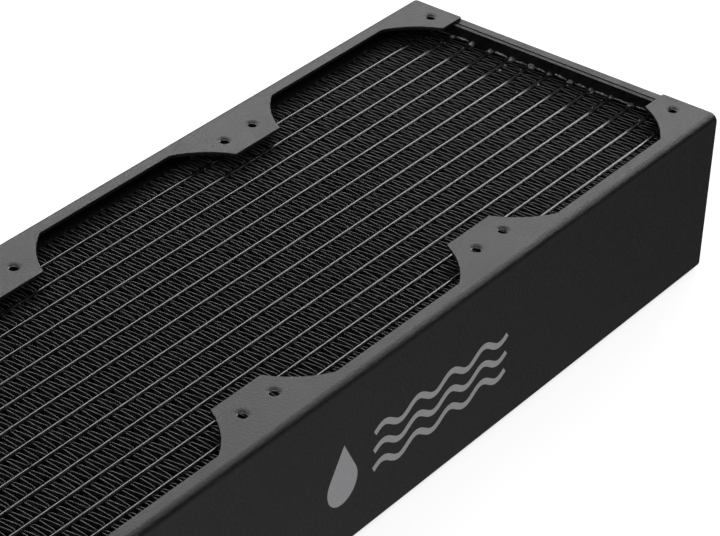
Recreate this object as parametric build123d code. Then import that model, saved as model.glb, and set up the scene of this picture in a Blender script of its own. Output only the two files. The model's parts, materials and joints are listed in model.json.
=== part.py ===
from build123d import *

import math
import os

# A thick three-fan liquid cooling radiator, in millimetres.
# The origin is the middle of the base. +X runs along the length to the return tank,
# the port tank is at -X, and +Z points up through the core, along the way the air goes.

# Overall size: the tanks stand a little proud of the side panels at both ends
PANEL_LENGTH = 400.0
TANK_OVERHANG = 1.2
WIDTH = 133.0
THICKNESS = 64.0

# Fans
FAN_SIZE = 120.0
FAN_COUNT = 3
FAN_HOLE_SPACING = 105.0

# Side panels: one folded steel channel on each long side
PANEL_SHEET = 1.2
PANEL_BEND = 3.0
RAIL_DEPTH = 6.5
TAB_DEPTH = 22.7
EDGE_ROUND = 0.25
TAB_CORNER_ROUND = 0.8
WINDOW_ARC_RADIUS = 36.7
WINDOW_ARC_OUT = 15.25
WINDOW_ARC_UP = 27.4

# Fan-screw holes: tapped M4 straight into the sheet, in a shallow dimple
SCREW_TAP_RADIUS = 1.65
SCREW_MAJOR_RADIUS = 2.0
DIMPLE_RADIUS = 3.1
DIMPLE_DEPTH = 0.25
LEAD_IN_DEPTH = 0.2

# Tanks and headers
TANK_SHEET = 1.0
FIT_GAP = 0.05
SIDE_GAP = 0.1
TANK_CORNER = 2.0
HEADER_SETBACK = 2.2
HEADER_SHEET = 1.0
HEADER_RIM = 1.5
SEAM_GROOVE = 0.8
TANK_EDGE_ROUND = 1.0

# Core
TUBE_COUNT = 13
TUBE_PITCH = 8.7
TUBE_THICKNESS = 1.8
TUBE_DEPTH = 25.4
TUBE_WALL = 0.25
TUBE_ROW_GAP = 2.0
TUBE_STAND_OUT = 0.6
FIN_LEG_PITCH = 25.4 / 14.0
FIN_CREST_FLAT = 1.2
FIN_SHEET = 0.12
FIN_PERIODS = 96
FIN_BELOW_TUBE = 0.1
SIDE_PLATE_SHEET = 0.8
SIDE_PLATE_FLANGE = 5.1

# Ports: G 1/4
PORT_X = -178.5
PORT_Y = 26.0
PORT_MINOR_RADIUS = 5.7225
PORT_MOUTH_RADIUS = 6.7
PORT_BODY_RADIUS = 8.5
PORT_FLANGE_RADIUS = 10.5
PORT_DEPTH = 11.0
DIVIDER_SHEET = 1.0

# Worked out from the above
PANEL_END = PANEL_LENGTH / 2
TANK_END = PANEL_END + TANK_OVERHANG
FAN_AREA_START = PANEL_END - FAN_COUNT * FAN_SIZE
FAN_CENTRES = [FAN_AREA_START + FAN_SIZE * (i + 0.5) for i in range(FAN_COUNT)]
HOLE_OFFSET = FAN_HOLE_SPACING / 2
HEADER_INSET = (FAN_SIZE - FAN_HOLE_SPACING) / 2 - HEADER_SETBACK
RETURN_HEADER = PANEL_END - HEADER_INSET
PORT_HEADER = FAN_AREA_START + HEADER_INSET
CORE_MIDDLE = (RETURN_HEADER + PORT_HEADER) / 2
CORE_DEPTH = 2 * TUBE_DEPTH + TUBE_ROW_GAP
FIN_SPACE = TUBE_PITCH - TUBE_THICKNESS
TANK_TOP = THICKNESS - PANEL_SHEET - FIT_GAP
TANK_HEIGHT = 2 * TANK_TOP - THICKNESS
TANK_WIDTH = WIDTH - 2 * (PANEL_SHEET + SIDE_GAP)
LAP = HEADER_SHEET + FIT_GAP


def slab(x_range, y_range, z_range):
    """A box between two limits on each axis."""
    spans = [sorted(r) for r in (x_range, y_range, z_range)]
    low = [s[0] for s in spans]
    size = [s[1] - s[0] for s in spans]
    return Pos(*low) * Box(*size, align=(Align.MIN, Align.MIN, Align.MIN))


def along_x(sketch, x_from, x_to):
    """A sketch in the Y-Z plane, extruded between two places on X."""
    start, end = sorted((x_from, x_to))
    return Pos(start, 0, 0) * extrude(Plane.YZ * sketch, end - start)


def window_outline(centre):
    """The opening that one fan's stretch of the inner edge leaves between two tabs."""
    rail_y = WIDTH / 2 - RAIL_DEPTH
    tab_y = WIDTH / 2 - TAB_DEPTH
    rail_angle = math.asin((rail_y - WINDOW_ARC_UP) / WINDOW_ARC_RADIUS)
    tab_angle = math.asin((tab_y - WINDOW_ARC_UP) / WINDOW_ARC_RADIUS)

    def on_arc(side, angle):
        x = centre + side * (WINDOW_ARC_OUT + WINDOW_ARC_RADIUS * math.cos(angle))
        return (x, WINDOW_ARC_UP + WINDOW_ARC_RADIUS * math.sin(angle))

    middle_angle = (rail_angle + tab_angle) / 2
    left = ThreePointArc(on_arc(-1, tab_angle), on_arc(-1, middle_angle), on_arc(-1, rail_angle))
    top = Line(on_arc(-1, rail_angle), on_arc(1, rail_angle))
    right = ThreePointArc(on_arc(1, rail_angle), on_arc(1, middle_angle), on_arc(1, tab_angle))
    below = tab_y - 1
    base = Polyline(
        on_arc(1, tab_angle),
        (on_arc(1, tab_angle)[0], below),
        (on_arc(-1, tab_angle)[0], below),
        on_arc(-1, tab_angle),
    )
    return make_face(left + top + right + base)


def channel_profile():
    """The side panel's section in the Y-Z plane, for the +Y side."""
    outer = WIDTH / 2
    tab_edge = outer - TAB_DEPTH
    solid = Pos(outer - TAB_DEPTH, THICKNESS / 2) * RectangleRounded(
        2 * TAB_DEPTH, THICKNESS, PANEL_BEND
    )
    hollow = Pos(outer - TAB_DEPTH, THICKNESS / 2) * RectangleRounded(
        2 * (TAB_DEPTH - PANEL_SHEET), THICKNESS - 2 * PANEL_SHEET, PANEL_BEND - PANEL_SHEET
    )
    inner_half = Pos(tab_edge - TAB_DEPTH / 2 - 1, THICKNESS / 2) * Rectangle(
        TAB_DEPTH + 2, THICKNESS + 2
    )
    return solid - hollow - inner_half


def screw_hole_cutter():
    """A dimple, a lead-in and the tap-drilled hole, pointing down from z = 0."""
    dimple = Pos(0, 0, -DIMPLE_DEPTH / 2) * Cone(SCREW_MAJOR_RADIUS, DIMPLE_RADIUS, DIMPLE_DEPTH)
    lead_in_middle = -DIMPLE_DEPTH - LEAD_IN_DEPTH / 2
    lead_in = Pos(0, 0, lead_in_middle) * Cone(SCREW_TAP_RADIUS, SCREW_MAJOR_RADIUS, LEAD_IN_DEPTH)
    drill_depth = 2 * PANEL_SHEET
    drill = Pos(0, 0, -drill_depth / 2) * Cylinder(SCREW_TAP_RADIUS, drill_depth)
    return dimple + lead_in + drill


def side_panel():
    """The +Y side panel: a channel with fan tabs on both faces."""
    panel = along_x(channel_profile(), -PANEL_END, PANEL_END)
    for centre in FAN_CENTRES:
        panel -= Pos(0, 0, -1) * extrude(window_outline(centre), THICKNESS + 2)
    end_corners = [
        e
        for e in panel.edges().filter_by(Axis.Z)
        if abs(e.center().X) > PANEL_END - 1e-3 and e.center().Y < WIDTH / 2 - TAB_DEPTH + 1e-3
    ]
    panel = fillet(end_corners, TAB_CORNER_ROUND)
    rail_y = WIDTH / 2 - RAIL_DEPTH
    faces = (0, THICKNESS)
    inner_edges = [
        e
        for e in panel.edges()
        if min(abs(e.center().Z - face) for face in faces) < 1e-3
        and e.center().Y < rail_y + 1e-3
        and abs(e.center().X) < PANEL_END - 1e-3
    ]
    panel = fillet(inner_edges, EDGE_ROUND)
    upright = Pos(0, 0, THICKNESS)
    turned_over = Rot(180, 0, 0)
    for centre in FAN_CENTRES:
        for x in (centre - HOLE_OFFSET, centre + HOLE_OFFSET):
            for placing in (upright, turned_over):
                panel -= Pos(x, HOLE_OFFSET, 0) * placing * screw_hole_cutter()
    return panel


def tank_block(x_from, x_to, inset):
    """A block of the tanks' rounded outline, drawn in by inset on all four sides."""
    outline = RectangleRounded(
        TANK_WIDTH - 2 * inset,
        TANK_HEIGHT - 2 * inset,
        max(TANK_CORNER - inset, TANK_SHEET / 2),
    )
    return along_x(Pos(0, THICKNESS / 2) * outline, x_from, x_to)


def tank(header_x, end_x):
    """A pressed pan whose rim steps in and nests inside the header's rim."""
    outward = math.copysign(1, end_x - header_x)
    mouth = header_x + outward * (HEADER_SHEET + FIT_GAP)
    step = header_x + outward * (HEADER_RIM + SEAM_GROOVE)
    step_inner = step + outward * TANK_SHEET
    outer = tank_block(step, end_x, 0)
    end_edges = outer.faces().filter_by(Axis.X).sort_by(Axis.X)[-1 if outward > 0 else 0].edges()
    outer = fillet(end_edges, TANK_EDGE_ROUND)
    outer += tank_block(mouth, step, LAP)
    inner = tank_block(mouth - outward, step_inner, LAP + TANK_SHEET)
    if abs(end_x - step_inner) > TANK_SHEET:
        inner += tank_block(step_inner, end_x - outward * TANK_SHEET, TANK_SHEET)
    return outer - inner


def tube_outline(extra=0.0):
    """A flat tube's section in the Y-Z plane, grown by extra all round."""
    thickness = TUBE_THICKNESS + 2 * extra
    return Rot(0, 0, 90) * SlotOverall(TUBE_DEPTH + 2 * extra, thickness)


def tube_places():
    """The middle of each tube as (row name, number, y, z)."""
    row_offset = (TUBE_DEPTH + TUBE_ROW_GAP) / 2
    for row, z in (("upper", THICKNESS / 2 + row_offset), ("lower", THICKNESS / 2 - row_offset)):
        for i in range(TUBE_COUNT):
            yield row, i + 1, (i - (TUBE_COUNT - 1) / 2) * TUBE_PITCH, z


def header(header_x, outward):
    """A plate with a slot for each tube, and its rim turned out around the tank."""
    plate_back = header_x + outward * HEADER_SHEET
    rim_end = header_x + outward * HEADER_RIM
    plate = tank_block(header_x, rim_end, 0)
    plate -= tank_block(plate_back, rim_end + outward, HEADER_SHEET)
    slots = Sketch()
    for _, _, y, z in tube_places():
        slots += Pos(y, z) * tube_outline(FIT_GAP / 2)
    return plate - along_x(slots, header_x - outward, rim_end + outward)


def tube(y, z):
    """One flat coolant tube, open at both ends."""
    ends = (
        PORT_HEADER - HEADER_SHEET - TUBE_STAND_OUT,
        RETURN_HEADER + HEADER_SHEET + TUBE_STAND_OUT,
    )
    section = tube_outline() - tube_outline(-TUBE_WALL)
    return along_x(Pos(y, z) * section, *ends)


def offset_path(points, distance):
    """A path's points moved sideways by distance, with mitred corners."""
    moved = []
    for i, (x, y) in enumerate(points):
        before = points[max(i - 1, 0)]
        after = points[min(i + 1, len(points) - 1)]
        legs = []
        for start, end in ((before, (x, y)), ((x, y), after)):
            length = math.dist(start, end)
            if length > 0:
                legs.append(((start[1] - end[1]) / length, (end[0] - start[0]) / length))
        normal = [sum(leg[k] for leg in legs) / len(legs) for k in range(2)]
        stretch = distance / (normal[0] ** 2 + normal[1] ** 2)
        moved.append((x + normal[0] * stretch, y + normal[1] * stretch))
    return moved


def fin_strip(y):
    """One ribbon folded to and fro between its two neighbours."""
    crest = FIN_SPACE / 2 - FIT_GAP - FIN_SHEET / 2
    half_flat = FIN_CREST_FLAT / 2
    period = 2 * FIN_LEG_PITCH
    start = CORE_MIDDLE - FIN_PERIODS * period / 2
    path = []
    for i in range(2 * FIN_PERIODS):
        middle = start + (i + 0.5) * FIN_LEG_PITCH
        level = crest if i % 2 == 0 else -crest
        path += [(middle - half_flat, level), (middle + half_flat, level)]
    upper = offset_path(path, FIN_SHEET / 2)
    lower = offset_path(path, -FIN_SHEET / 2)
    ribbon = make_face(Polyline(*upper, *reversed(lower), close=True))
    depth = CORE_DEPTH - 2 * FIN_BELOW_TUBE
    return Pos(0, y, (THICKNESS - depth) / 2) * extrude(ribbon, depth)


def core_side_plate():
    """The shallow channel that closes the +Y side of the core."""
    inner = TUBE_PITCH * (TUBE_COUNT - 1) / 2 + TUBE_THICKNESS / 2 + FIN_SPACE
    web = (inner, inner + SIDE_PLATE_SHEET)
    flange = (inner, inner + SIDE_PLATE_FLANGE)
    bottom = (THICKNESS - CORE_DEPTH) / 2
    top = bottom + CORE_DEPTH
    run = (PORT_HEADER + FIT_GAP, RETURN_HEADER - FIT_GAP)
    return (
        slab(run, web, (bottom, top))
        + slab(run, flange, (bottom, bottom + SIDE_PLATE_SHEET))
        + slab(run, flange, (top - SIDE_PLATE_SHEET, top))
    )


def port_bung():
    """A flanged bush with the port's threaded hole, its top level with the fan tabs."""
    flange_height = THICKNESS - TANK_TOP
    flange = Pos(0, 0, THICKNESS - flange_height / 2) * Cylinder(PORT_FLANGE_RADIUS, flange_height)
    body = Pos(0, 0, THICKNESS - PORT_DEPTH / 2) * Cylinder(PORT_BODY_RADIUS, PORT_DEPTH)
    hole = Pos(0, 0, THICKNESS - PORT_DEPTH / 2) * Cylinder(PORT_MINOR_RADIUS, PORT_DEPTH + 2)
    mouth_depth = PORT_MOUTH_RADIUS - PORT_MINOR_RADIUS
    mouth = Pos(0, 0, THICKNESS - mouth_depth / 2) * Cone(
        PORT_MINOR_RADIUS, PORT_MOUTH_RADIUS, mouth_depth
    )
    bung = flange + body
    rim = bung.edges().filter_by(GeomType.CIRCLE).group_by(Axis.Z)[-1]
    return chamfer(rim, EDGE_ROUND) - hole - mouth


def port_tank():
    """The deep tank at the port end, with a hole for each bung."""
    shell = tank(PORT_HEADER, -TANK_END)
    for side in (-1, 1):
        shell -= Pos(PORT_X, side * PORT_Y, TANK_TOP) * Cylinder(
            PORT_BODY_RADIUS + FIT_GAP, 4 * TANK_SHEET
        )
    return shell


def flow_divider():
    """The plate that splits the port tank between two tubes, near its middle."""
    y_middle = TUBE_PITCH / 2
    y_range = (y_middle - DIVIDER_SHEET / 2, y_middle + DIVIDER_SHEET / 2)
    step_inner = PORT_HEADER - HEADER_RIM - SEAM_GROOVE - TANK_SHEET
    wide_inset = TANK_SHEET + FIT_GAP
    narrow_inset = LAP + TANK_SHEET + FIT_GAP
    floor = THICKNESS - TANK_TOP
    wide = slab(
        (-TANK_END + TANK_SHEET + FIT_GAP, step_inner - FIT_GAP),
        y_range,
        (floor + wide_inset, TANK_TOP - wide_inset),
    )
    narrow = slab(
        (step_inner - FIT_GAP, PORT_HEADER - HEADER_SHEET - FIT_GAP),
        y_range,
        (floor + narrow_inset, TANK_TOP - narrow_inset),
    )
    return wide + narrow


def build_nodes():
    """Every piece by its name."""
    panel = side_panel()
    plate = core_side_plate()
    nodes = {
        "side_panel_left": mirror(panel, Plane.XZ),
        "side_panel_right": panel,
        "return_tank": tank(RETURN_HEADER, TANK_END),
        "return_header": header(RETURN_HEADER, 1),
        "port_tank": port_tank(),
        "port_header": header(PORT_HEADER, -1),
        "flow_divider": flow_divider(),
        "inlet_bung": Pos(PORT_X, -PORT_Y, 0) * port_bung(),
        "outlet_bung": Pos(PORT_X, PORT_Y, 0) * port_bung(),
        "core_side_plate_left": mirror(plate, Plane.XZ),
        "core_side_plate_right": plate,
    }
    for row, number, y, z in tube_places():
        nodes[f"tube_{row}_{number:02d}"] = tube(y, z)
    for i in range(TUBE_COUNT + 1):
        nodes[f"fin_strip_{i + 1:02d}"] = fin_strip((i - TUBE_COUNT / 2) * TUBE_PITCH)
    return nodes


os.makedirs("parts", exist_ok=True)
for name, piece in build_nodes().items():
    export_step(piece, f"parts/{name}.step")
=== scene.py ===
import json
import math
import random

import bmesh
import bpy
import numpy as np
from mathutils import Matrix, Vector, noise


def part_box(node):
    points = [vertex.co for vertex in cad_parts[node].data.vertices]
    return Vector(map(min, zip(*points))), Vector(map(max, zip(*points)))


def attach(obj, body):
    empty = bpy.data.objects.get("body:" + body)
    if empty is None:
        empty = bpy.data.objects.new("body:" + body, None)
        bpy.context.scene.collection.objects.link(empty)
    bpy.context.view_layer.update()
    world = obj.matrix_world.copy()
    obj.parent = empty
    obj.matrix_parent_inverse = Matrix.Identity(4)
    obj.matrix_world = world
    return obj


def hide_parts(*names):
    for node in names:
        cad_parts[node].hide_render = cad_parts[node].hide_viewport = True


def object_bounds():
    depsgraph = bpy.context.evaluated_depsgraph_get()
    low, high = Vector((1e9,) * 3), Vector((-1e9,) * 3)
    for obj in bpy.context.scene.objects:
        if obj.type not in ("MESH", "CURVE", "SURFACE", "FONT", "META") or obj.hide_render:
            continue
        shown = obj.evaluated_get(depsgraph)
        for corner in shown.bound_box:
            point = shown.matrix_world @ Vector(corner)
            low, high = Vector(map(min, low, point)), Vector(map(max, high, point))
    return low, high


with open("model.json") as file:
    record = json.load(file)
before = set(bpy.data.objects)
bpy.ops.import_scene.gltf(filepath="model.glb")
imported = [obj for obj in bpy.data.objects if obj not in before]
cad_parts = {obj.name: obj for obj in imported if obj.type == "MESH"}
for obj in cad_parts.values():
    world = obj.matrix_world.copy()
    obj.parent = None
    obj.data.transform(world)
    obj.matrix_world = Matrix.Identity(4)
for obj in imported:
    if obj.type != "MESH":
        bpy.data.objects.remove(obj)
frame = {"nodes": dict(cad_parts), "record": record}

cad_low, cad_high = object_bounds()

MM = 0.001
ROOT = "root"

# Fin ribbons
FIN_LEG_PITCH = 25.4 / 14 * MM
FIN_SHEET = 0.11 * MM
FIN_SLANT = 0.12 * MM
FIN_BEAD_WIDTH = 0.26 * MM
FIN_BEAD_DEPTH = 0.3 * MM
FIN_BEAD_CROWN = 0.05 * MM
CREST_DIP = 0.28 * MM
CREST_FLAT = 1.2 * MM
CREST_ROUND = 0.2 * MM
FIN_LEAD = 0.9 * MM
SLAT_PITCH = 1.25 * MM
SLAT_HEIGHT = 1.1 * MM
SLAT_SHEET = 0.08 * MM
SLATS_PER_BANK = 4
SLAT_TILT = math.radians(27)
LOUVRE_HALF_WIDTH = 2.6 * MM
LEG_PLACE_JITTER = 0.12 * MM
LEG_LEAN_JITTER = 0.13 * MM
BENT_LEG_SHARE = 0.02
BENT_LEG_LEAN = 0.5 * MM
FIN_WANDER = 0.35 * MM
LEG_HEIGHT_JITTER = 0.04 * MM

# Fan-screw threads, M4, cut into the side panels' tap-drilled holes
SCREW_MAJOR_RADIUS = 2.0 * MM
SCREW_CUTTER_MINOR_RADIUS = 1.6 * MM
SCREW_PITCH = 0.7 * MM
PANEL_SHEET = 1.2 * MM
CUT_EDGE_ROUND = 0.34 * MM

# Port threads, G 1/4
PORT_MINOR_RADIUS = 5.7225 * MM
PORT_MAJOR_RADIUS = 6.5785 * MM
PORT_PITCH = 1.337 * MM
PORT_MOUTH_RADIUS = 6.7 * MM
PORT_BODY_RADIUS = 8.5 * MM
PORT_FLANGE_RADIUS = 10.5 * MM
PORT_FLANGE_HEIGHT = 1.25 * MM

# Headers and tanks
SEAM_GROOVE = 0.8 * MM
SEAM_BEAD_RADIUS = 0.42 * MM
SEAM_BEAD_INSET = 0.68 * MM
TANK_CORNER = 2.0 * MM

# Printed mark on the left side panel: a drop and three ripples
INK_THICKNESS = 0.02 * MM
INK_OVERLAP = 0.01 * MM
DROP_X = -15.0 * MM
DROP_Z = 26.0 * MM
DROP_RADIUS = 7.6 * MM
DROP_TOP = 41.0 * MM
RIPPLE_HEIGHTS = (22.5 * MM, 29.5 * MM, 36.5 * MM)
RIPPLE_START = 1.0 * MM
RIPPLE_END = 73.0 * MM
RIPPLE_LENGTH = 18.0 * MM
RIPPLE_SWING = 1.9 * MM
RIPPLE_HALF_STROKE = 1.15 * MM

# Where the core lies along X, for the painted shade on the fins and the duller tube paint beside
# the headers
CORE_MIDDLE = 20 * MM
CORE_HALF_LENGTH = 174.7 * MM

FIN_NAMES = sorted(n for n in frame["nodes"] if n.startswith("fin_strip_"))
TUBE_NAMES = sorted(n for n in frame["nodes"] if n.startswith("tube_"))

# Camera: the middle of the picture looks at CAMERA_AIM on the plane of the fan tabs
CAMERA_AZIMUTH = -54.5
CAMERA_ELEVATION = 32.73
CAMERA_ROLL = 2.83
CAMERA_DISTANCE = 0.9145
CAMERA_LENS = 143.65
CAMERA_AIM = Vector((0.0385, -0.0309, cad_high.z))

# Studio
LIGHT_AIM = Vector((0.02, 0, 0.05))
WORLD_DARK = 0.01
WORLD_PALE_PATCHES = (
    # azimuth, elevation, cosine where it starts, cosine where it is full, strength
    (-45, -32, 0.0, 0.3, 0.36),
    (45, -12, 0.93, 1.0, 0.2),
)
SOFTBOXES = (
    # name, azimuth, elevation, distance in m, size in m, watts
    ("back_softbox", 122, 12, 3.2, (4.4, 0.75), 15),
    ("back_wall", 112, 35, 3.6, (6.4, 0.8), 86),
    ("top_softbox", -20, 80, 3.6, (4.4, 4.4), 30),
    ("glint_softbox", -20, 72, 1.8, (0.35, 0.35), 2.0),
    ("end_softbox", 190, 56, 2.0, (0.7, 0.7), 8),
)
FLOOR_HALF_SIDE = 20.0
FLOOR_DROP = 0.2 * MM


# ---------------------------------------------------------------- camera, light and floor

def direction(azimuth, elevation):
    """The way out from the object. Azimuth 0 is -Y and 90 is +X."""
    a, e = math.radians(azimuth), math.radians(elevation)
    return Vector((math.sin(a) * math.cos(e), -math.cos(a) * math.cos(e), math.sin(e)))


def link(obj):
    bpy.context.scene.collection.objects.link(obj)
    return obj


def make_camera():
    back = direction(CAMERA_AZIMUTH, CAMERA_ELEVATION)
    right = Vector((0, 0, 1)).cross(back).normalized()
    up = back.cross(right)
    roll = math.radians(CAMERA_ROLL)
    rolled_right = right * math.cos(roll) + up * math.sin(roll)
    rolled_up = up * math.cos(roll) - right * math.sin(roll)
    data = bpy.data.cameras.new("camera")
    data.lens = CAMERA_LENS
    data.sensor_width = 36
    data.clip_start = 0.05
    data.clip_end = 100
    camera = link(bpy.data.objects.new("camera", data))
    turn = Matrix((rolled_right, rolled_up, back)).transposed().to_4x4()
    camera.matrix_world = Matrix.Translation(CAMERA_AIM + back * CAMERA_DISTANCE) @ turn
    bpy.context.scene.camera = camera


def softbox(name, azimuth, elevation, distance, size, watts):
    data = bpy.data.lights.new(name, "AREA")
    data.shape = "RECTANGLE"
    data.size, data.size_y = size
    data.energy = watts
    light = link(bpy.data.objects.new(name, data))
    out = direction(azimuth, elevation)
    light.location = LIGHT_AIM + out * distance
    light.rotation_mode = "QUATERNION"
    light.rotation_quaternion = out.to_track_quat("Z", "Y")


def make_world():
    """A dark room with pale patches where the side panel and its bend face."""
    world = bpy.data.worlds.new("studio")
    bpy.context.scene.world = world
    world.use_nodes = True
    nodes, links = world.node_tree.nodes, world.node_tree.links
    way = nodes.new("ShaderNodeTexCoord")
    total = nodes.new("ShaderNodeValue").outputs["Value"]
    total.default_value = WORLD_DARK
    for azimuth, elevation, low, high, strength in WORLD_PALE_PATCHES:
        facing = nodes.new("ShaderNodeVectorMath")
        facing.operation = "DOT_PRODUCT"
        facing.inputs[1].default_value = direction(azimuth, elevation)
        links.new(way.outputs["Generated"], facing.inputs[0])
        ramp = nodes.new("ShaderNodeMapRange")
        ramp.interpolation_type = "SMOOTHSTEP"
        for key, number in (("From Min", low), ("From Max", high), ("To Max", strength)):
            ramp.inputs[key].default_value = number
        links.new(facing.outputs["Value"], ramp.inputs["Value"])
        add = nodes.new("ShaderNodeMath")
        links.new(total, add.inputs[0])
        links.new(ramp.outputs["Result"], add.inputs[1])
        total = add.outputs["Value"]
    links.new(total, nodes["Background"].inputs["Strength"])
    nodes["Background"].inputs["Color"].default_value = (1, 1, 1, 1)
    bpy.context.scene.view_settings.view_transform = "Standard"


def make_floor():
    """A pale light table: it glows a little, so only a faint shadow shows on it."""
    side = FLOOR_HALF_SIDE
    z = cad_low.z - FLOOR_DROP
    mesh = bpy.data.meshes.new("floor")
    corners = [(-side, -side, z), (side, -side, z), (side, side, z), (-side, side, z)]
    mesh.from_pydata(corners, [], [(0, 1, 2, 3)])
    floor = link(bpy.data.objects.new("floor", mesh))
    material = bpy.data.materials.new("pale_floor")
    material.use_nodes = True
    shader = material.node_tree.nodes["Principled BSDF"]
    shader.inputs["Base Color"].default_value = (0.5, 0.5, 0.5, 1)
    shader.inputs["Emission Color"].default_value = (1, 1, 1, 1)
    shader.inputs["Emission Strength"].default_value = 0.8
    shader.inputs["Roughness"].default_value = 0.9
    shader.inputs["Specular IOR Level"].default_value = 0.0
    mesh.materials.append(material)
    floor.visible_glossy = False
    floor.visible_diffuse = False


def make_studio():
    make_camera()
    make_world()
    make_floor()
    for settings in SOFTBOXES:
        softbox(*settings)


# ---------------------------------------------------------------- materials

class Nodes:
    """A material's node tree with short calls to add to it."""

    def __init__(self, name):
        self.material = bpy.data.materials.new(name)
        self.material.use_nodes = True
        self.tree = self.material.node_tree
        self.shader = self.tree.nodes["Principled BSDF"]
        self.place = self.tree.nodes.new("ShaderNodeTexCoord").outputs["Object"]

    def add(self, kind, **settings):
        node = self.tree.nodes.new(kind)
        for key, value in settings.items():
            if hasattr(node, key):
                setattr(node, key, value)
            else:
                node.inputs[key].default_value = value
        return node

    def link(self, source, target):
        self.tree.links.new(source, target)

    def noise(self, size, detail=2.0, roughness=0.5, stretch=(1, 1, 1)):
        """Noise whose blobs are about size metres across."""
        scaled = self.add("ShaderNodeMapping")
        scaled.inputs["Scale"].default_value = stretch
        self.link(self.place, scaled.inputs["Vector"])
        node = self.add("ShaderNodeTexNoise", Scale=1 / size, Detail=detail, Roughness=roughness)
        self.link(scaled.outputs["Vector"], node.inputs["Vector"])
        return node.outputs["Fac"]

    def ramp(self, value, low, high, out_low, out_high):
        """value from low..high to out_low..out_high, smoothly."""
        node = self.add("ShaderNodeMapRange", interpolation_type="SMOOTHSTEP")
        numbers = (low, high, out_low, out_high)
        for key, number in zip(("From Min", "From Max", "To Min", "To Max"), numbers):
            node.inputs[key].default_value = number
        self.link(value, node.inputs["Value"])
        return node.outputs["Result"]

    def near_headers(self, unevenness, reach, fade):
        """1 beside the headers, 0 beyond reach from them, over an uneven border fade wide."""
        split = self.add("ShaderNodeSeparateXYZ")
        self.link(self.place, split.inputs["Vector"])
        from_middle = self.math("SUBTRACT", split.outputs["X"], CORE_MIDDLE)
        off_middle = self.math("ABSOLUTE", from_middle, 0.0)
        border = self.math("ADD", off_middle, self.math("MULTIPLY", unevenness, 10 * MM))
        edge = CORE_HALF_LENGTH + 5 * MM
        return self.ramp(border, edge - reach, edge - reach + fade, 0, 1)

    def math(self, operation, a, b):
        node = self.add("ShaderNodeMath", operation=operation)
        for socket, value in zip(node.inputs, (a, b)):
            if isinstance(value, (int, float)):
                socket.default_value = value
            else:
                self.link(value, socket)
        return node.outputs["Value"]

    def mix(self, factor, first, second):
        node = self.add("ShaderNodeMix", data_type="RGBA")
        self.link(factor, node.inputs["Factor"])
        node.inputs[6].default_value = (*first, 1)
        node.inputs[7].default_value = (*second, 1)
        return node.outputs[2]

    def bump(self, height, distance, strength=1.0):
        node = self.add("ShaderNodeBump", Strength=strength, Distance=distance)
        self.link(height, node.inputs["Height"])
        self.link(node.outputs["Normal"], self.shader.inputs["Normal"])

    def color(self, socket):
        self.link(socket, self.shader.inputs["Base Color"])

    def rough(self, socket):
        self.link(socket, self.shader.inputs["Roughness"])


def grey(value):
    return (value, value, value * 1.03)


def powder_coat():
    """Black powder coat: fine grain, faint cloudiness and a satin roughness."""
    n = Nodes("powder_coat")
    cloud = n.noise(18 * MM, 3)
    grain = n.noise(1.0 * MM, 3, 0.65)
    fine = n.noise(0.16 * MM, 1)
    n.color(n.mix(n.ramp(grain, 0.35, 0.7, 0, 1), grey(0.006), grey(0.013)))
    rough = n.ramp(cloud, 0.3, 0.7, 0.33, 0.38)
    n.rough(n.math("ADD", rough, n.ramp(fine, 0.3, 0.7, -0.03, 0.03)))
    n.shader.inputs["Specular IOR Level"].default_value = 0.53
    n.bump(n.math("ADD", grain, n.math("MULTIPLY", fine, 0.3)), 0.15 * MM)
    return n.material


def tank_paint():
    """Thinner, duller black paint over drawn brass."""
    n = Nodes("tank_paint")
    cloud = n.noise(9 * MM, 3)
    grain = n.noise(0.45 * MM, 2, 0.6)
    n.color(n.mix(n.ramp(cloud, 0.3, 0.7, 0, 1), grey(0.010), grey(0.020)))
    n.rough(n.ramp(cloud, 0.3, 0.7, 0.4, 0.5))
    n.shader.inputs["Specular IOR Level"].default_value = 0.5
    n.bump(grain, 0.02 * MM)
    return n.material


def header_paint():
    """Black paint over a soldered header: uneven, with ripples from the solder under it."""
    n = Nodes("header_paint")
    lumps = n.noise(2.2 * MM, 3, 0.6)
    grain = n.noise(0.3 * MM, 2)
    n.color(n.mix(n.ramp(lumps, 0.4, 0.7, 0, 1), grey(0.006), grey(0.016)))
    n.rough(n.ramp(lumps, 0.3, 0.7, 0.4, 0.55))
    n.shader.inputs["Specular IOR Level"].default_value = 0.35
    n.bump(n.math("ADD", lumps, n.math("MULTIPLY", grain, 0.2)), 0.08 * MM)
    return n.material


def tube_paint():
    """Paint on a tube's rounded edge, thin enough for small uneven glints."""
    n = Nodes("tube_paint")
    beads = n.noise(1.4 * MM, 3, 0.6)
    wear = n.noise(7 * MM, 3, 0.6)
    n.color(n.mix(n.ramp(beads, 0.35, 0.75, 0, 1), grey(0.004), grey(0.012)))
    dull = n.near_headers(wear, 22 * MM, 10 * MM)
    n.rough(n.math("ADD", n.ramp(wear, 0.3, 0.7, 0.11, 0.24), n.math("MULTIPLY", dull, 0.45)))
    n.link(n.ramp(dull, 0, 1, 1.0, 0.08), n.shader.inputs["Specular IOR Level"])
    n.bump(beads, 0.035 * MM)
    return n.material


def solder_paint(name, low, high):
    """Glossy paint pooled over drops of solder, its grey going from low to high in random pools;
    where high is pale, that grey is painted highlight standing in for glints.
    """
    n = Nodes(name)
    pools = n.noise(1.1 * MM, 2, 0.5)
    n.color(n.mix(n.ramp(pools, 0.35, 0.7, 0, 1), grey(low), grey(high)))
    n.shader.inputs["Specular IOR Level"].default_value = 1.0
    n.rough(n.ramp(pools, 0.3, 0.7, 0.16, 0.3))
    n.bump(n.noise(0.5 * MM, 2), 0.03 * MM)
    return n.material


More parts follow.
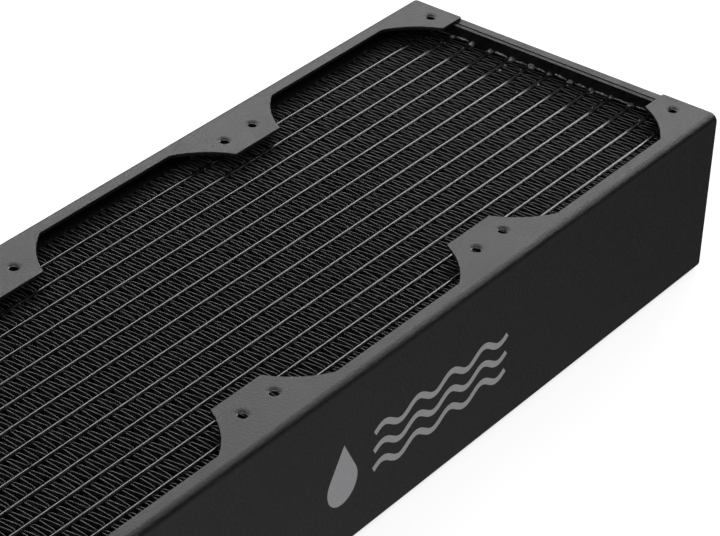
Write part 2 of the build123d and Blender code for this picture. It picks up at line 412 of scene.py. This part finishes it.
def fin_paint():
    """Black paint on thin copper fins, patchy where the spray didn't reach evenly, and painted
    darker beside the headers: painted shade from the header walls, and thicker paint there.
    """
    n = Nodes("fin_paint")
    patches = n.noise(3.0 * MM, 3, 0.6)
    grain = n.noise(0.4 * MM, 2)
    # Beside the headers the fin is painted darker: painted shade from the header walls, and thicker
    # paint there.
    thin = n.math("SUBTRACT", 1.0, n.near_headers(patches, 34 * MM, 20 * MM))
    greyness = n.math("MULTIPLY", n.ramp(patches, 0.35, 0.7, 0, 1), thin)
    n.color(n.mix(greyness, grey(0.016), grey(0.052)))
    n.rough(n.ramp(patches, 0.3, 0.7, 0.55, 0.7))
    n.shader.inputs["Specular IOR Level"].default_value = 0.15
    n.bump(grain, 0.01 * MM)
    return n.material


def fin_edge_highlight_paint():
    """Paint along a fin's edge, where thicker paint gathers; its lighter grey is painted highlight
    where the rims catch the light.
    """
    n = Nodes("fin_edge_highlight_paint")
    patches = n.noise(2.6 * MM, 3, 0.6)
    grain = n.noise(0.5 * MM, 2)
    # Beside the headers the edge is painted darker: painted shade from the header walls, and
    # thicker paint there.
    thin = n.math("SUBTRACT", 1.0, n.near_headers(patches, 34 * MM, 20 * MM))
    greyness = n.math("MULTIPLY", n.ramp(patches, 0.32, 0.72, 0, 1), thin)
    # Much lighter than the walls' paint: painted highlight on the rims.
    n.color(n.mix(greyness, grey(0.045), grey(0.165)))
    n.rough(n.ramp(patches, 0.3, 0.7, 0.42, 0.55))
    n.bump(grain, 0.01 * MM)
    return n.material


def tapped_metal():
    """Dull bare metal where the holes were tapped through the paint."""
    n = Nodes("tapped_metal")
    turned = n.noise(0.2 * MM, 2)
    n.color(n.mix(n.ramp(turned, 0.3, 0.7, 0, 1), grey(0.2), grey(0.34)))
    n.shader.inputs["Metallic"].default_value = 1.0
    n.rough(n.ramp(turned, 0.3, 0.7, 0.36, 0.5))
    n.bump(turned, 0.01 * MM)
    return n.material


def thread_brass():
    """Bare machined brass in the ports' threads."""
    n = Nodes("thread_brass")
    turned = n.noise(0.25 * MM, 2, 0.5, (1, 1, 6))
    stain = n.noise(2.5 * MM, 3)
    n.color(n.mix(n.ramp(stain, 0.35, 0.7, 0, 1), (0.62, 0.44, 0.17), (0.42, 0.29, 0.12)))
    n.shader.inputs["Metallic"].default_value = 1.0
    n.rough(n.ramp(turned, 0.3, 0.7, 0.24, 0.38))
    n.bump(turned, 0.01 * MM)
    return n.material


def mark_ink():
    """Grey screen-printed ink, a touch smoother than the coat under it."""
    n = Nodes("mark_ink")
    speckle = n.noise(0.3 * MM, 2, 0.6)
    n.color(n.mix(n.ramp(speckle, 0.3, 0.7, 0, 1), grey(0.56), grey(0.7)))
    n.rough(n.ramp(speckle, 0.3, 0.7, 0.45, 0.55))
    n.bump(speckle, 0.008 * MM)
    return n.material


# ---------------------------------------------------------------- mesh helpers

class Builder:
    """Collects points and faces for one mesh."""

    def __init__(self):
        self.points = []
        self.faces = []
        self.painted = []
        self.count = 0

    def add(self, points, faces, material=0):
        """Adds points, and faces whose numbers count from the first of these points."""
        points = np.asarray(points, float).reshape(-1, 3)
        self.points.append(points)
        for face in faces:
            self.faces.append([int(i) + self.count for i in face])
        self.painted += [material] * len(faces) if isinstance(material, int) else material
        self.count += len(points)

    def piece(self, name, materials, sharp=50.0):
        """The mesh as an object, smooth except at edges sharper than sharp degrees."""
        mesh = bpy.data.meshes.new(name)
        mesh.from_pydata(np.concatenate(self.points).tolist(), [], self.faces)
        for material in materials:
            mesh.materials.append(material)
        mesh.polygons.foreach_set("material_index", self.painted)
        finish_shading(mesh, sharp)
        return add_piece(bpy.data.objects.new(name, mesh))


def finish_shading(mesh, sharp):
    mesh.shade_smooth()
    mesh.set_sharp_from_angle(angle=math.radians(sharp))
    mesh.update()


def add_piece(obj):
    link(obj)
    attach(obj, ROOT)
    return obj


def ring_faces(rings, around, closed_path=False):
    """Quads between successive rings of points, each ring closed."""
    faces = []
    for k in range(rings if closed_path else rings - 1):
        after = (k + 1) % rings
        for j in range(around):
            beside = (j + 1) % around
            here, there = k * around, after * around
            faces.append((here + j, here + beside, there + beside, there + j))
    return faces


def icosphere(subdivisions):
    """The points and faces of a unit sphere."""
    bm = bmesh.new()
    bmesh.ops.create_icosphere(bm, subdivisions=subdivisions, radius=1)
    points = np.array([v.co[:] for v in bm.verts])
    faces = [[v.index for v in f.verts] for f in bm.faces]
    bm.free()
    return points, faces


# ---------------------------------------------------------------- fin ribbons

LEVELS = 8
RING = 2 * LEVELS + 2
LEFT = list(range(LEVELS))
TOP = LEVELS
RIGHT = [RING - 2 - i for i in range(LEVELS)]
POINTS_PER_LEG = 8
LOUVRE_POINT = 4
LOUVRE_BANDS = (2, 4)
CREST_DIP_SHARES = (1, 1, 1, 0.5, 0, 0, 0.5, 1)
ON_LEG = (2, 3, 4, 5, 6)
BEAD_SIDES = {0, TOP - 2, TOP - 1, TOP, TOP + 1, RING - 3, RING - 2, RING - 1}


def leg_line(middle, level, next_middle):
    """The ribbon's line from one crest to the start of the next, seen from above."""
    half = CREST_FLAT / 2
    side = math.copysign(1, level)
    start = np.array((middle + half, level))
    end = np.array((next_middle - half, -level))
    along = (end - start) / np.linalg.norm(end - start)
    louvre = along * LOUVRE_HALF_WIDTH / abs(along[1])
    corner = np.array((0.25, 0.25 * side)) * CREST_ROUND
    return [
        (middle - half + CREST_ROUND, level),
        (middle + half - CREST_ROUND, level),
        start - corner,
        start + along * CREST_ROUND,
        (start + end) / 2 - louvre,
        (start + end) / 2 + louvre,
        end - along * CREST_ROUND,
        end + corner,
    ]


def crest_middles(low_x, high_x, rng):
    """Where the crests lie: an even pitch with a slow wander and a small jitter."""
    count = round((high_x - low_x - CREST_FLAT) / FIN_LEG_PITCH) + 1
    phase = rng.uniform(0, 2 * math.pi)
    waves = rng.uniform(2.0, 3.5)
    places = []
    for i in range(count):
        share = i / (count - 1)
        fade = math.sin(math.pi * share)
        wander = FIN_WANDER * math.sin(2 * math.pi * waves * share + phase)
        shake = max(-2.5, min(2.5, rng.gauss(0, 1))) * LEG_PLACE_JITTER
        even = (low_x + high_x) / 2 + (i - (count - 1) / 2) * FIN_LEG_PITCH
        slant = FIN_SLANT if i % 2 else -FIN_SLANT
        places.append(even + fade * wander + (shake + slant if 0 < i < count - 1 else 0))
    return places


def add_ribbon(build, middles, centre_y, level, low_z, high_z, rng):
    """The folded sheet itself, with a rounded rim and its louvre windows left open."""
    line = []
    for i, middle in enumerate(middles[:-1]):
        line += leg_line(middle, level if i % 2 == 0 else -level, middles[i + 1])
    last_side = level if len(middles) % 2 else -level
    half = CREST_FLAT / 2
    line += [(middles[-1] - half + CREST_ROUND, last_side), (middles[-1] + half, last_side)]
    line = np.array(line)
    tangent = np.gradient(line, axis=0)
    tangent /= np.linalg.norm(tangent, axis=1)[:, None]
    normal = np.stack([-tangent[:, 1], tangent[:, 0]], 1)

    count = len(line)
    leg = np.minimum(np.arange(count) // POINTS_PER_LEG, len(middles) - 2)
    leans = np.array([leg_leans(rng) for _ in middles])
    share = 1 - np.abs(line[:, 1]) / level
    bank = SLATS_PER_BANK * SLAT_PITCH
    heights = np.array([
        low_z + FIN_BEAD_CROWN, low_z + FIN_BEAD_DEPTH,
        low_z + FIN_LEAD, low_z + FIN_LEAD + bank,
        high_z - FIN_LEAD - bank, high_z - FIN_LEAD,
        high_z - FIN_BEAD_DEPTH, high_z - FIN_BEAD_CROWN,
    ])
    widths = [FIN_BEAD_WIDTH] + [FIN_SHEET] * (LEVELS - 2) + [FIN_BEAD_WIDTH]
    points = np.zeros((count, RING, 3))
    for side, rows in ((1, LEFT), (-1, RIGHT)):
        for row, z, width in zip(rows, heights, widths):
            points[:, row, :2] = line + side * normal * width / 2
            points[:, row, 2] = z
    points[:, TOP, :2] = line
    points[:, TOP, 2] = high_z
    points[:, RING - 1, :2] = line
    points[:, RING - 1, 2] = low_z
    top_rows, bottom_rows = (LEFT[-1], TOP, RIGHT[-1]), (LEFT[0], RING - 1, RIGHT[0])
    for rows, lean in ((top_rows, leans[leg, 0]), (bottom_rows, leans[leg, 1])):
        for row in rows:
            points[:, row, 0] += lean * share
    dip = CREST_DIP * np.tile(CREST_DIP_SHARES, len(middles))[:count]
    for row in (LEFT[-2], LEFT[-1], TOP, RIGHT[-1], RIGHT[-2]):
        points[:, row, 2] += leans[leg, 2] * share - dip
    for row in (LEFT[0], LEFT[1], RING - 1, RIGHT[1], RIGHT[0]):
        points[:, row, 2] += dip
    points[:, :, 1] += centre_y
    build.add(points, *ribbon_faces(count))
    return line[LOUVRE_POINT::POINTS_PER_LEG], line[LOUVRE_POINT + 1::POINTS_PER_LEG], heights


def leg_leans(rng):
    """How far a leg's top and bottom edges lean along X, and how high its top stands."""
    bent = rng.random() < BENT_LEG_SHARE
    top = rng.gauss(0, BENT_LEG_LEAN if bent else LEG_LEAN_JITTER)
    bottom = rng.gauss(0, LEG_LEAN_JITTER)
    height = -abs(rng.gauss(0, LEG_HEIGHT_JITTER))
    return max(-0.7 * MM, min(0.7 * MM, top)), bottom, height


def ribbon_faces(count):
    """Quads along the ribbon, and round the rims of its windows, with each face's material."""
    faces, painted = [], []
    for k in range(count - 1):
        here, there = k * RING, (k + 1) * RING
        open_here = k % POINTS_PER_LEG == LOUVRE_POINT
        for j in range(RING):
            beside = (j + 1) % RING
            band = j if j < TOP else RING - 3 - j
            if not (open_here and band in LOUVRE_BANDS):
                faces.append((here + j, here + beside, there + beside, there + j))
                # Faces on the rounded rims take the lighter edge paint, a painted highlight.
                painted.append(1 if j in BEAD_SIDES and k % POINTS_PER_LEG in ON_LEG else 0)
        if open_here:
            for band in LOUVRE_BANDS:
                l0, l1, r0, r1 = LEFT[band], LEFT[band + 1], RIGHT[band], RIGHT[band + 1]
                faces.append((here + r0, there + r0, there + l0, here + l0))
                faces.append((here + l1, there + l1, there + r1, here + r1))
                faces.append((here + l0, here + l1, here + r1, here + r0))
                faces.append((there + r0, there + r1, there + l1, there + l0))
                painted += [0] * 4
    for end, order in ((0, -1), ((count - 1) * RING, 1)):
        left_right = list(zip(LEFT, RIGHT))
        for (l0, r0), (l1, r1) in zip(left_right, left_right[1:]):
            faces.append([end + i for i in (l0, r0, r1, l1)][::order])
        faces.append([end + i for i in (LEFT[-1], RIGHT[-1], TOP)][::order])
        faces.append([end + i for i in (RIGHT[0], LEFT[0], RING - 1)][::order])
        painted += [0] * (LEVELS + 1)
    return faces, painted


BOX_CORNERS = np.array([(x, y, z) for x in (-1, 1) for y in (-1, 1) for z in (-1, 1)], float)
BOX_FACES = [(0, 1, 3, 2), (4, 6, 7, 5), (0, 4, 5, 1), (2, 3, 7, 6), (0, 2, 6, 4), (1, 5, 7, 3)]


def add_slats(build, starts, ends, centre_y, heights):
    """The turned slats of every leg's two louvre banks, as thin plates."""
    for start, end in zip(starts, ends):
        along = Vector((*(end - start), 0))
        half_length = along.length / 2 - 0.1 * MM
        along.normalize()
        across = Vector((along.y, -along.x, 0))
        middle = Vector((*(start + end) / 2, 0)) + Vector((0, centre_y, 0))
        for band, turn in zip(LOUVRE_BANDS, (-1, 1)):
            rise = Vector((0, 0, math.cos(SLAT_TILT))) + across * math.sin(SLAT_TILT) * turn
            through = along.cross(rise)
            frame_axes = np.array([
                along * half_length, rise * SLAT_HEIGHT / 2, through * SLAT_SHEET / 2,
            ])
            for s in range(SLATS_PER_BANK):
                z = heights[band] + (s + 0.5) * SLAT_PITCH
                corners = BOX_CORNERS @ frame_axes + np.array((middle.x, middle.y, z))
                build.add(corners, BOX_FACES)


def fin_ribbon(node, rng):
    """One ribbon in the place of its CAD strip. Gives back where its crests touch the tubes."""
    low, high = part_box(node)
    level = (high.y - low.y) / 2 - FIN_SHEET / 2
    centre_y = (low.y + high.y) / 2
    middles = crest_middles(low.x, high.x, rng)
    build = Builder()
    starts, ends, heights = add_ribbon(build, middles, centre_y, level, low.z, high.z, rng)
    add_slats(build, starts, ends, centre_y, heights)
    name = node.replace("fin_strip", "fin_ribbon")
    ribbon = build.piece(name, [FIN_PAINT, FIN_EDGE_HIGHLIGHT_PAINT], 66)
    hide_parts(node)
    return [(x, centre_y, 1 if i % 2 == 0 else -1) for i, x in enumerate(middles)]


# ---------------------------------------------------------------- solder

def braze_beads(name, contacts, z, up, rng):
    """A small drop of solder where each fin crest meets a tube, seen on one face of the core."""
    sphere, faces = icosphere(1)
    half_space = (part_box(FIN_NAMES[0])[1].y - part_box(FIN_NAMES[0])[0].y) / 2
    build = Builder()
    for x, centre_y, side in contacts:
        if rng.random() < 0.12:
            continue
        size = math.exp(rng.gauss(0, 0.3))
        radii = np.array((0.5, 0.22, 0.34)) * MM * size
        middle = np.array((
            x + rng.gauss(0, 0.2 * MM),
            centre_y + side * (half_space + 0.02 * MM),
            z + up * rng.uniform(-0.15, 0.1) * MM,
        ))
        build.add(sphere * radii + middle, faces)
    build.piece(name, [SOLDER_PAINT])


def lump(build, middle, radii, seed, sphere):
    """A rounded, slightly uneven drop."""
    points, faces = sphere
    offset = Vector((seed * 7.3, seed * 1.7, 0))
    shaped = []
    for p in points:
        swell = 1 + 0.28 * noise.noise(Vector(p) * 1.3 + offset)
        shaped.append([middle[k] + p[k] * radii[k] * swell for k in range(3)])
    build.add(shaped, faces)


def solder_run(build, start, end, radius, seed):
    """An uneven bead between two points, thin at both ends."""
    steps, around = 14, 8
    along = (end - start).normalized()
    across = along.cross(Vector((0, 0, 1))).normalized()
    up = across.cross(along)
    points = []
    for k in range(steps + 1):
        share = k / steps
        waver = noise.noise(Vector((seed * 3.1, share * 4, 0)))
        size = radius * (math.sin(math.pi * (0.04 + 0.92 * share)) ** 0.45) * (1 + 0.45 * waver)
        middle = start.lerp(end, share) + up * waver * 0.15 * MM
        for j in range(around):
            angle = 2 * math.pi * j / around
            points.append(middle + across * math.cos(angle) * size + up * math.sin(angle) * size)
    faces = ring_faces(steps + 1, around)
    faces.append(list(range(around))[::-1])
    faces.append([steps * around + j for j in range(around)])
    faces = [f[::-1] for f in faces]
    build.add(points, faces)


def header_solder(node, inward, rng):
    """Solder at a header's foot on both faces: lumps over the tube ends, runs and stray drops."""
    low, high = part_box(node)
    wall = low.x if inward < 0 else high.x
    build = Builder()
    coarse, fine = icosphere(2), icosphere(3)
    core_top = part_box("tube_upper_01")[1].z
    core_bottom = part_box("tube_lower_01")[0].z
    for face, up in ((core_top, 1), (core_bottom, -1)):
        for tube in (n for n in TUBE_NAMES if "upper" in n):
            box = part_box(tube)
            y = (box[0].y + box[1].y) / 2
            size = rng.uniform(0.75, 1.2)
            radii = Vector((1.5, 1.15, 0.9)) * MM * size
            x = wall + inward * rng.uniform(0.1, 0.8) * MM
            middle = Vector((x, y + rng.gauss(0, 0.3) * MM, face - up * 0.2 * MM))
            lump(build, middle, radii, rng.random() * 50, fine)
            for _ in range(rng.choice((0, 1, 1, 2))):
                away = inward * rng.uniform(1.5, 11) * MM
                drop_y = y + rng.gauss(0, 1.0) * MM
                drop = Vector((wall + away, drop_y, face - up * rng.uniform(0.3, 0.7) * MM))
                size = rng.uniform(0.3, 0.65) * MM
                lump(build, drop, Vector((size * 1.3, size, size * 0.8)), rng.random() * 50, coarse)
        for strip in FIN_NAMES:
            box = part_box(strip)
            middle_y = (box[0].y + box[1].y) / 2
            if rng.random() < 0.2:
                continue
            reach = rng.uniform(2.2, 3.5) * MM
            lift = face + up * rng.uniform(-0.15, 0.3) * MM
            start_x = wall + inward * rng.uniform(0.2, 0.7) * MM
            start = Vector((start_x, middle_y - reach, lift))
            end_x = wall + inward * rng.uniform(0.2, 0.7) * MM
            end = Vector((end_x, middle_y + reach, lift + rng.gauss(0, 0.2) * MM))
            solder_run(build, start, end, rng.uniform(0.38, 0.62) * MM, rng.random() * 50)
    # The pale grey paint on this solder is a painted highlight standing in for glints.
    build.piece(node.replace("header", "header_solder"), [PAINTED_GLINT_SOLDER_PAINT])


def rounded_rectangle(half_width, half_height, corner, steps_per_corner, steps_per_side):
    """Points round a rounded rectangle in the Y-Z plane, about its middle."""
    points = []
    for turn, (sy, sz) in enumerate(((1, 1), (-1, 1), (-1, -1), (1, -1))):
        cy, cz = sy * (half_width - corner), sz * (half_height - corner)
        arc = []
        for k in range(steps_per_corner + 1):
            angle = math.pi / 2 * (turn + k / steps_per_corner)
            arc.append((cy + corner * math.cos(angle), cz + corner * math.sin(angle)))
        points += arc
        next_y = (-1, -1, 1, 1)[turn] * (half_width - corner if turn % 2 == 0 else half_width)
        next_z = (1, -1, -1, 1)[turn] * (half_height if turn % 2 == 0 else half_height - corner)
        for k in range(1, steps_per_side):
            share = k / steps_per_side
            y = arc[-1][0] * (1 - share) + next_y * share
            points.append((y, arc[-1][1] * (1 - share) + next_z * share))
    return points


def tank_seam(node, outward, rng):
    """The soldered seam that lies in the groove between a header's rim and its tank."""
    low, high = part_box(node)
    rim = high.x if outward > 0 else low.x
    x = rim + outward * SEAM_GROOVE / 2
    half_width = (high.y - low.y) / 2 - SEAM_BEAD_INSET
    half_height = (high.z - low.z) / 2 - SEAM_BEAD_INSET
    centre_z = (high.z + low.z) / 2
    corner = TANK_CORNER - SEAM_BEAD_INSET
    path = rounded_rectangle(half_width, half_height, corner, 6, 90)
    path = [Vector((x, y, centre_z + z)) for y, z in path]
    around = 8
    seed = rng.random() * 50
    points = []
    for k, here in enumerate(path):
        along = (path[(k + 1) % len(path)] - path[k - 1]).normalized()
        out = along.cross(Vector((1, 0, 0)))
        size = SEAM_BEAD_RADIUS * (1 + 0.3 * noise.noise(here / (2.5 * MM) + Vector((seed, 0, 0))))
        for j in range(around):
            angle = 2 * math.pi * j / around
            along_x = Vector((math.sin(angle) * size * 0.95, 0, 0))
            points.append(here + out * math.cos(angle) * size + along_x)
    build = Builder()
    build.add(points, ring_faces(len(path), around, closed_path=True))
    build.piece(node.replace("header", "tank_seam"), [TANK_PAINT])


# ---------------------------------------------------------------- threads

def thread_share(angle, height, pitch):
    """0 at a thread's crest and 1 at its root, with a flat at each, for a right-hand thread."""
    phase = (height / pitch - angle / (2 * math.pi)) % 1
    flank = abs(2 * phase - 1)
    return max(0.0, min(1.0, 1.25 * flank - 0.125))


def screw_cutter(build, centre, up):
    """A threaded rod that cuts an M4 thread through the sheet, down from centre."""
    around, per_pitch = 32, 10
    top, bottom = 0.3 * MM, -PANEL_SHEET - 0.3 * MM
    rows = round((top - bottom) / SCREW_PITCH * per_pitch)
    points = []
    for r in range(rows + 1):
        height = bottom + (top - bottom) * r / rows
        for k in range(around):
            angle = 2 * math.pi * k / around
            share = thread_share(angle * up, height, SCREW_PITCH)
            thread_depth = SCREW_MAJOR_RADIUS - SCREW_CUTTER_MINOR_RADIUS
            radius = SCREW_CUTTER_MINOR_RADIUS + share * thread_depth
            spot = Vector((radius * math.cos(angle), radius * math.sin(angle), up * height))
            points.append(centre + spot)
    faces = [f[::-1] for f in ring_faces(rows + 1, around)]
    faces = [f[::-1] for f in faces] if up > 0 else faces
    caps = [list(range(around))[::-1], [rows * around + k for k in range(around)]]
    faces += caps if up > 0 else [f[::-1] for f in caps]
    build.add(points, faces)


def threaded_panel(node):
    """A copy of a side panel with real threads cut into its tapped holes."""
    source = frame["nodes"][node]
    mesh = source.data.copy()
    mesh.name = node + "_threaded"
    bm = bmesh.new()
    bm.from_mesh(mesh)
    bmesh.ops.remove_doubles(bm, verts=bm.verts, dist=1e-6)
    bmesh.ops.dissolve_limit(bm, angle_limit=math.radians(1), verts=bm.verts, edges=bm.edges)
    bm.to_mesh(mesh)
    bm.free()
    side = math.copysign(1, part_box(node)[0].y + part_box(node)[1].y)
    build = Builder()
    for mount in frame["record"]["mounts"]:
        if mount["kind"] != "bolt_pattern":
            continue
        x, _, z = mount["pos_m"]
        half = mount["dims"]["spacing_x_mm"] / 2 * MM
        for dx in (-half, half):
            screw_cutter(build, Vector((x + dx, side * half, z)), mount["axis"][2])
    cutter_mesh = bpy.data.meshes.new("screw_cutters")
    cutter_mesh.from_pydata(np.concatenate(build.points).tolist(), [], build.faces)
    cutter_mesh.materials.append(TAPPED_METAL)
    cutter = link(bpy.data.objects.new("screw_cutters", cutter_mesh))
    mesh.materials.clear()
    mesh.materials.append(POWDER_COAT)
    panel = add_piece(bpy.data.objects.new(mesh.name, mesh))
    rounding = panel.modifiers.new("cut_edges", "BEVEL")
    rounding.width = CUT_EDGE_ROUND
    rounding.segments = 3
    rounding.limit_method = "ANGLE"
    rounding.angle_limit = math.radians(50)
    rounding.use_clamp_overlap = True
    cut = panel.modifiers.new("threads", "BOOLEAN")
    cut.operation = "DIFFERENCE"
    cut.solver = "EXACT"
    cut.material_mode = "TRANSFER"
    cut.object = cutter
    apply_modifiers(panel)
    bpy.data.objects.remove(cutter)
    bpy.data.meshes.remove(cutter_mesh)
    finish_shading(panel.data, 32)
    even = panel.modifiers.new("flat_faces", "WEIGHTED_NORMAL")
    even.mode = "FACE_AREA"
    even.weight = 100
    even.keep_sharp = True
    apply_modifiers(panel)
    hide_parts(node)


def apply_modifiers(obj):
    """Makes the modifiers' result the object's own mesh."""
    depsgraph = bpy.context.evaluated_depsgraph_get()
    mesh = bpy.data.meshes.new_from_object(obj.evaluated_get(depsgraph))
    old = obj.data
    name = old.name
    obj.modifiers.clear()
    obj.data = mesh
    bpy.data.meshes.remove(old)
    mesh.name = name


def port_bung(node):
    """A flanged bush whose G 1/4 thread is bare brass."""
    low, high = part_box(node)
    centre = Vector(((low.x + high.x) / 2, (low.y + high.y) / 2, 0))
    flange_base = high.z - PORT_FLANGE_HEIGHT
    chamfer = 0.25 * MM
    mouth_base = high.z - (PORT_MOUTH_RADIUS - PORT_MINOR_RADIUS)
    around, per_pitch = 72, 12
    build = Builder()
    outside = [
        (PORT_MAJOR_RADIUS, low.z), (PORT_BODY_RADIUS - chamfer, low.z),
        (PORT_BODY_RADIUS, low.z + chamfer), (PORT_BODY_RADIUS, flange_base),
        (PORT_FLANGE_RADIUS, flange_base), (PORT_FLANGE_RADIUS, high.z - chamfer),
        (PORT_FLANGE_RADIUS - chamfer, high.z), (PORT_MOUTH_RADIUS + 0.5 * MM, high.z),
        (PORT_MOUTH_RADIUS + 0.15 * MM, high.z - 0.04 * MM), (PORT_MOUTH_RADIUS, high.z - 0.2 * MM),
    ]
    rows = round((mouth_base - low.z) / PORT_PITCH * per_pitch)
    points = []
    for k in range(around):
        angle = 2 * math.pi * k / around
        spot = Vector((math.cos(angle), math.sin(angle), 0))
        for radius, z in outside:
            points.append(centre + spot * radius + Vector((0, 0, z)))
        for r in range(rows + 1):
            height = mouth_base + (low.z - mouth_base) * r / rows
            cut = thread_share(angle, height, PORT_PITCH)
            radius = PORT_MINOR_RADIUS + cut * (PORT_MAJOR_RADIUS - PORT_MINOR_RADIUS)
            points.append(centre + spot * radius + Vector((0, 0, height)))
    ring = len(outside) + rows + 1
    faces = ring_faces(around, ring, closed_path=True)
    painted = [0 if j < len(outside) - 1 else 1 for _ in range(around) for j in range(ring)]
    build.add(points, faces)
    build.painted = painted
    name = node.replace("bung", "threaded_bung")
    bung = build.piece(name, [TANK_PAINT, THREAD_BRASS], 40)
    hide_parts(node)


# ---------------------------------------------------------------- printed mark

def prism(build, outline, y_front, depth):
    """A flat shape in the X-Z plane, given anticlockwise as seen from -Y, raised towards -Y."""
    count = len(outline)
    front = [(x, y_front, z) for x, z in outline]
    back = [(x, y_front + depth, z) for x, z in outline]
    faces = [list(range(count)), [count + k for k in range(count)][::-1]]
    for k in range(count):
        after = (k + 1) % count
        faces.append((k, count + k, count + after, after))
    build.add(front + back, faces)


def side_mark(node):
    """A generic printed mark: a water drop and three ripples."""
    y_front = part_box(node)[0].y - INK_THICKNESS
    depth = INK_THICKNESS + INK_OVERLAP
    build = Builder()
    lean = math.acos(DROP_RADIUS / (DROP_TOP - DROP_Z))
    outline = []
    steps = 40
    for k in range(steps + 1):
        angle = math.pi / 2 + lean + (2 * math.pi - 2 * lean) * k / steps
        x = DROP_X + DROP_RADIUS * math.cos(angle)
        outline.append((x, DROP_Z + DROP_RADIUS * math.sin(angle)))
    outline.append((DROP_X, DROP_TOP))
    prism(build, outline, y_front, depth)
    count = 96
    for z in RIPPLE_HEIGHTS:
        upper, lower = [], []
        for k in range(count + 1):
            x = RIPPLE_START + (RIPPLE_END - RIPPLE_START) * k / count
            turn = 2 * math.pi * (x - RIPPLE_START) / RIPPLE_LENGTH
            slope = math.atan(RIPPLE_SWING * 2 * math.pi / RIPPLE_LENGTH * math.cos(turn))
            nx, nz = -math.sin(slope), math.cos(slope)
            wz = z + RIPPLE_SWING * math.sin(turn)
            upper.append((x + nx * RIPPLE_HALF_STROKE, wz + nz * RIPPLE_HALF_STROKE))
            lower.append((x - nx * RIPPLE_HALF_STROKE, wz - nz * RIPPLE_HALF_STROKE))
        prism(build, lower + upper[::-1], y_front, depth)
    build.piece("side_mark", [MARK_INK])


# ---------------------------------------------------------------- build

def paint_node(name, material):
    obj = frame["nodes"][name]
    obj.data.materials.clear()
    obj.data.materials.append(material)


FIN_PAINT = fin_paint()
FIN_EDGE_HIGHLIGHT_PAINT = fin_edge_highlight_paint()
TUBE_PAINT = tube_paint()
SOLDER_PAINT = solder_paint("solder_paint", 0.012, 0.05)
# Pale grey solder paint for the headers: painted highlight standing in for glints.
PAINTED_GLINT_SOLDER_PAINT = solder_paint("painted_glint_solder_paint", 0.05, 0.22)
POWDER_COAT = powder_coat()
TANK_PAINT = tank_paint()
HEADER_PAINT = header_paint()
TAPPED_METAL = tapped_metal()
THREAD_BRASS = thread_brass()
MARK_INK = mark_ink()

make_studio()

for name in TUBE_NAMES:
    paint_node(name, TUBE_PAINT)
for name in ("return_header", "port_header", "flow_divider"):
    paint_node(name, HEADER_PAINT)
for name in ("return_tank", "port_tank"):
    paint_node(name, TANK_PAINT)
for name in ("core_side_plate_left", "core_side_plate_right"):
    paint_node(name, POWDER_COAT)

rng = random.Random(7)
contacts = []
for name in FIN_NAMES:
    contacts += fin_ribbon(name, rng)
fin_low, fin_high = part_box(FIN_NAMES[0])
braze_beads("top_braze_beads", contacts, fin_high.z, 1, rng)
braze_beads("bottom_braze_beads", contacts, fin_low.z, -1, rng)
header_solder("return_header", -1, rng)
header_solder("port_header", 1, rng)
tank_seam("return_header", 1, rng)
tank_seam("port_header", -1, rng)
threaded_panel("side_panel_left")
threaded_panel("side_panel_right")
port_bung("inlet_bung")
port_bung("outlet_bung")
side_mark("side_panel_left")
